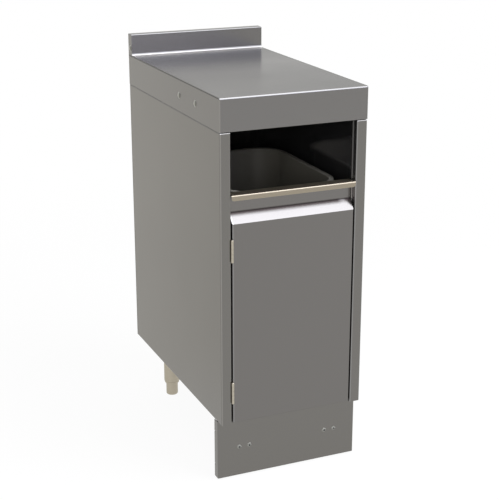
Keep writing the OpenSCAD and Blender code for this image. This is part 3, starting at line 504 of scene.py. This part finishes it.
# Painted highlight on the body's left front bend
bend_highlight = (x < body_low.x + BEND_HIGHLIGHT_W) * foremost
surface["Base Color"] = graph.mix(bend_highlight, surface["Base Color"], BEND_HIGHLIGHT_STEEL)
dress(close(material, graph, surface), "left_side_panel", "right_side_panel", "rear_panel")

# %% Pan, kick plate and the hidden sheets
INNER_STEEL = (0.17, 0.17, 0.164)

dress(close(*steel("pan_steel", BODY_STEEL, "x")), "bottom_pan", "kick_plate")
dress(close(*steel("inner_steel", INNER_STEEL, "x", 0.35)), "top_channels", "leg_plates", "kick_clips")

# %% [markdown]
# Door
#
# The door's skin is brushed after it is pressed. Along the hollow bend over the slope of the
# finger recess a line of painted shade is put. It thins out and then widens into the corner
# where the recess ends. The edge on the hinge side gets a painted highlight. Both are masks on
# the place, as they would be on a drawing of the door.

# %% Door steel with painted shade in its hollow and a painted highlight on its hinge edge
DOOR_STEEL = (0.19, 0.182, 0.174)
EDGE_W = 0.0032
HINGE_EDGE_HIGHLIGHT_STEEL = (0.25, 0.245, 0.24)
HOLLOW_SHADE_STEEL = (0.028, 0.0225, 0.021)
BEND_Z = 0.6545

# Strength of the painted shade in the hollow by the height in millimetres over the bend
HOLLOW = [(-8, 0.0), (-4, 0.5), (-1.5, 1.0), (1, 1.0), (5, 0.0)]
HOLLOW_SPAN = 0.02

# Strength of the painted shade in the hollow by the distance in millimetres from the door's right edge
HOLLOW_END = [(12, 1.0), (18, 0.64), (24, 0.64), (33, 1.0)]
END_SPAN = 0.04

# The painted shade in the corner is a leaning patch that starts under the bend and fades out just over it
CORNER_DROP = 0.015
CORNER_LEAN = 1.35
CORNER_SHARE = 0.78
CORNER_FADE = (-0.005, 0.009)
CORNER_TOP = (0.0012, 0.0052)

material, graph, surface = steel("door_steel", DOOR_STEEL)
x, y, z = graph.axes()
door_low, door_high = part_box("door_skin")
# Painted highlight along the door's edge on the hinge side
surface["Base Color"] = graph.mix(x < door_low.x + EDGE_W, surface["Base Color"], HINGE_EDGE_HIGHLIGHT_STEEL)
profile = [(mm / 1000 / HOLLOW_SPAN + 0.5, share) for mm, share in HOLLOW]
hollow = graph.node("ValToRGB", {"stops": profile}, {0: (z - BEND_Z) * (1 / HOLLOW_SPAN) + 0.5})
to_edge = door_high.x - x
ending = [(mm / 1000 / END_SPAN, share) for mm, share in HOLLOW_END]
line = hollow * graph.node("ValToRGB", {"stops": ending}, {0: to_edge * (1 / END_SPAN)})
corner = graph.node("MapRange", {"interpolation_type": "SMOOTHSTEP"},
                    {"Value": (z - (BEND_Z - CORNER_DROP)) * CORNER_LEAN - to_edge,
                     "From Min": CORNER_FADE[0], "From Max": CORNER_FADE[1], "To Max": CORNER_SHARE})
under = graph.node("MapRange", {"interpolation_type": "SMOOTHSTEP"},
                   {"Value": z - BEND_Z, "From Min": CORNER_TOP[0], "From Max": CORNER_TOP[1],
                    "To Min": 1.0, "To Max": 0.0})
hollow_shade = line.maths("MAXIMUM", line, corner * under)
# Painted shade in the hollow bend and its corner
surface["Base Color"] = graph.mix(hollow_shade, surface["Base Color"], HOLLOW_SHADE_STEEL)
dress(close(material, graph, surface), "door_skin")
dress(close(*steel("liner_steel", DOOR_STEEL)), "door_liner")

# %% [markdown]
# Straw-coloured steel
#
# The pull bar, the hinges and the legs are bought in, and their steel is a shade warmer than
# the sheet. The pull bar shows slanting belt marks, the legs were turned while they were
# brushed, so their marks run round.

# %% Warm steel
BAR_STEEL = (0.32, 0.28, 0.215)
LEG_STEEL = (0.48, 0.44, 0.36)
SLANT = (0, math.radians(-24), 0)

dress(close(*steel("pull_bar_steel", BAR_STEEL, "x", 0.3, grain_depth=0.000002, tone=0.12,
                   metallic=0.85, turn=SLANT)), "door_pull")
dress(close(*steel("hinge_steel", LEG_STEEL, "z", 0.3)), "upper_frame_leaf", "upper_door_leaf",
      "upper_hinge_pin", "lower_frame_leaf", "lower_door_leaf", "lower_hinge_pin")
dress(close(*steel("leg_steel", LEG_STEEL, "x", 0.34)), "leg_tubes", "leg_inserts", "front_left_foot",
      "front_right_foot", "rear_left_foot", "rear_right_foot")

# %% [markdown]
# Fasteners and plugs
#
# Screws, bolts and rivets come tumbled and plated, with no belt marks to speak of, so the same
# steel is used rougher. The round heads on the kick plate get painted shade in their socket,
# and each plug a band of painted shade towards the front. Both are a few pixels wide in the picture,
# and a mask round each centre is enough.

# %% Plain fasteners
FASTENER_STEEL = (0.22, 0.225, 0.21)

dress(close(*steel("rivet_steel", BODY_STEEL, "z", 0.25)), "rear_rivets")
dress(close(*steel("bright_fastener", FASTENER_STEEL, "z", 0.6)), "top_bolts", "leg_screws",
      "kick_nuts", "frame_leaf_screws", "door_leaf_screws",
      "catch_screws", "strike_plate", "strike_rivets")

# %% Kick plate screws with painted shade in the socket
SCREW_STEEL = (0.33, 0.33, 0.3)
SCREW_PITCH = 0.0254
SOCKET_R = 0.0024
SOCKET_SHADE_GREY = 0.13

material, graph, surface = steel("screw_steel", SCREW_STEEL, "z", 0.75, metallic=0.6)
x, y, z = graph.axes()
screw_low, screw_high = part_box("kick_screws")
head_r = (screw_high.z - screw_low.z) / 2
socket = 0.0
for centre in (screw_high.x - head_r, screw_high.x - head_r - SCREW_PITCH):
    offset = graph.node("CombineXYZ", inputs={0: abs(x) - centre, 2: z - (screw_high.z - head_r)})
    socket = (graph.node("VectorMath", {"operation": "LENGTH"}, {0: offset}, "Value") < SOCKET_R) + socket
# Painted shade in each screw's socket
surface["Base Color"] = graph.mix(socket, surface["Base Color"], SOCKET_SHADE_GREY)
dress(close(material, graph, surface), "kick_screws")

# %% Plugs with a band of painted shade towards the front
PLUG_STEEL = (0.44, 0.44, 0.405)
PLUG_SHADE_STEEL = (0.2, 0.2, 0.183)
PLUG_YS = (-0.1619, -0.0603, 0.2893)
BAND_FORWARD = 0.0072
BAND_HALF_W = 0.00405

material, graph, surface = steel("plug_steel", PLUG_STEEL, "z", 0.3)
x, y, z = graph.axes()
plug_shade_band = 0.0
for centre in PLUG_YS:
    plug_shade_band = (abs(y - (centre - BAND_FORWARD)) < BAND_HALF_W) + plug_shade_band
# Painted shade on the front side of each plug
surface["Base Color"] = graph.mix(plug_shade_band, surface["Base Color"], PLUG_SHADE_STEEL)
dress(close(material, graph, surface), "hole_plugs")

# %% [markdown]
# Plastic, rubber and magnet
#
# The catch housing is moulded, the bumpers are soft rubber and the magnet is sintered. None
# of them is a metal sheet: each gets a matt shader with the small unevenness of its making.

# %% Moulded and sintered finishes
MATT_CLOUDS = 14
MATT_UNEVEN = 0.15


def matt_finish(name, colour, roughness, grains, depth, tone=0.08):
    """A matt material with an even, fine relief of so many grains to the metre."""
    material = bpy.data.materials.new(name)
    graph = Graph(material)
    grain = graph.noise(grains, 3.0)
    cloud = graph.noise(MATT_CLOUDS, 2.0)
    surface = {
        "Base Color": graph.mix(cloud, [v * (1 - tone) for v in colour], [v * (1 + tone) for v in colour]),
        "Roughness": (grain - 0.5) * MATT_UNEVEN + roughness,
        "Normal": graph.bump(grain, depth),
    }
    return material, graph, surface


dress(close(*matt_finish("catch_plastic", (0.05, 0.05, 0.05), 0.5, 1500, 0.00002)), "catch_housing")
dress(close(*matt_finish("bumper_rubber", (0.015, 0.015, 0.015), 0.75, 900, 0.00003)), "door_bumpers")
dress(close(*matt_finish("sintered_magnet", (0.04, 0.04, 0.043), 0.55, 2500, 0.00004)), "catch_magnet")

# %% [markdown]
# Waste bin
#
# The bin is a moulded tub: a wall of even thickness, drawn in towards the foot so that it
# leaves its mould, wide round corners, and a rim that turns out and down to stiffen the edge
# and to hold a liner. It could be sculpted or turned, but it is neither round nor free in
# shape. Here it starts as a flat box, open below, whose bevelled upright edges give the plan.
# Its top is inset once for the rim and once for the draft, the face left in the middle is
# moved down to be the foot, and Solidify gives the wall.

# %% Helpers for modelling by hand
def start_edit(piece):
    """Selects one object alone and opens it for editing, with nothing in it selected."""
    bpy.ops.object.select_all(action="DESELECT")
    piece.select_set(True)
    bpy.context.view_layer.objects.active = piece
    bpy.ops.object.mode_set(mode="EDIT")
    bpy.ops.mesh.select_all(action="DESELECT")


def pick(piece, kind, test):
    """Selects the faces or edges whose place and direction pass the test."""
    bpy.ops.mesh.select_mode(type="FACE" if kind == "faces" else "EDGE")
    bpy.ops.mesh.select_all(action="DESELECT")
    mesh = bmesh.from_edit_mesh(piece.data)
    mesh.normal_update()
    count = 0
    for element in getattr(mesh, kind):
        if kind == "faces":
            chosen = test(element.calc_center_median(), element.normal)
        else:
            ends = [v.co for v in element.verts]
            chosen = test((ends[0] + ends[1]) / 2, (ends[1] - ends[0]).normalized())
        element.select_set(chosen)
        count += chosen
    bmesh.update_edit_mesh(piece.data)
    return count


def end_edit(piece, smooth_angle=35):
    """Closes editing, puts the piece's place into its mesh and smooths the shallow edges."""
    bpy.ops.object.mode_set(mode="OBJECT")
    bpy.ops.object.transform_apply(location=True, rotation=True, scale=True)
    bpy.ops.object.shade_smooth_by_angle(angle=math.radians(smooth_angle))
    print(piece.name, "has", len(piece.data.polygons), "faces")


def add_modifier(piece, kind, **settings):
    """Adds a modifier with its settings and applies it at once."""
    modifier = piece.modifiers.new(kind.lower(), kind)
    for name, value in settings.items():
        setattr(modifier, name, value)
    bpy.ops.object.modifier_apply(modifier=modifier.name)


# %% The tub: rim, draft and foot
BIN_RIM_W = 0.012
BIN_RIM_DROP = 0.009
BIN_WALL = 0.0024
BIN_TAPER = 0.018
BIN_CORNER = 0.072
BIN_FOOT_R = 0.014
BIN_EDGE_R = 0.0022

low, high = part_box("waste_bin")
middle = (low + high) / 2
size = high - low
bpy.ops.object.select_all(action="DESELECT")
bpy.ops.mesh.primitive_cube_add(size=1, location=(middle.x, middle.y, high.z - BIN_RIM_DROP / 2),
                                scale=(size.x, size.y, BIN_RIM_DROP))
tub = bpy.context.object
tub.name = "moulded_bin"
bpy.ops.object.transform_apply(location=True, rotation=True, scale=True)
start_edit(tub)
pick(tub, "faces", lambda at, normal: normal.z < -0.5)
bpy.ops.mesh.delete(type="FACE")
pick(tub, "edges", lambda at, way: abs(way.z) > 0.5)
bpy.ops.mesh.bevel(offset=BIN_CORNER, segments=14, affect="EDGES")
pick(tub, "faces", lambda at, normal: normal.z > 0.5)
bpy.ops.mesh.inset(thickness=BIN_RIM_W)
bpy.ops.mesh.inset(thickness=BIN_TAPER)
bpy.ops.transform.translate(value=(0, 0, low.z + BIN_WALL - high.z))
bpy.ops.mesh.bevel(offset=BIN_FOOT_R, segments=6, affect="EDGES")
rim_edges = pick(tub, "edges", lambda at, way: at.z > high.z - 0.0001 and abs(way.z) < 0.5)
print("Edges along the rim:", rim_edges)

# %% Round the rim, give the wall its thickness
bpy.ops.mesh.bevel(offset=BIN_EDGE_R, segments=3, affect="EDGES")
bpy.ops.object.mode_set(mode="OBJECT")
add_modifier(tub, "SOLIDIFY", thickness=BIN_WALL, offset=-1.0, use_even_offset=True)
start_edit(tub)
end_edit(tub)
print("Bin in metres:", [round(v, 4) for v in tub.dimensions])

# %% Olive polyethylene with the faint orange peel of its mould, and a rim paler from wear and painted light
BIN_OLIVE = (0.12, 0.113, 0.095)
RIM_WORN_AND_LIT = (0.34, 0.33, 0.3)
RIM_WORN_AND_LIT_H = 0.0035
WORN_AND_LIT_AT_BACK = 0.1
WORN_PATCHES = 30

material, graph, surface = matt_finish("bin_polyethylene", BIN_OLIVE, 0.5, 420, 0.00006)
x, y, z = graph.axes()
worn_and_lit = graph.node("MapRange", {"interpolation_type": "SMOOTHSTEP"},
                  {"Value": z, "From Min": high.z - RIM_WORN_AND_LIT_H, "From Max": high.z})
patchy = graph.noise(WORN_PATCHES, 3.0)
forward = graph.node("MapRange", inputs={"Value": y, "From Min": low.y, "From Max": high.y - BIN_CORNER,
                                         "To Min": 1.0, "To Max": WORN_AND_LIT_AT_BACK})
# Paler rim, partly wear in patches and partly painted light, strongest at the front by the open chute
surface["Base Color"] = graph.mix(worn_and_lit * forward * (patchy * 0.6 + 0.6), surface["Base Color"], RIM_WORN_AND_LIT)
surface["Roughness"] = surface["Roughness"] - worn_and_lit * 0.1
tub.data.materials.append(close(material, graph, surface))
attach(tub, "bin")
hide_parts("waste_bin")
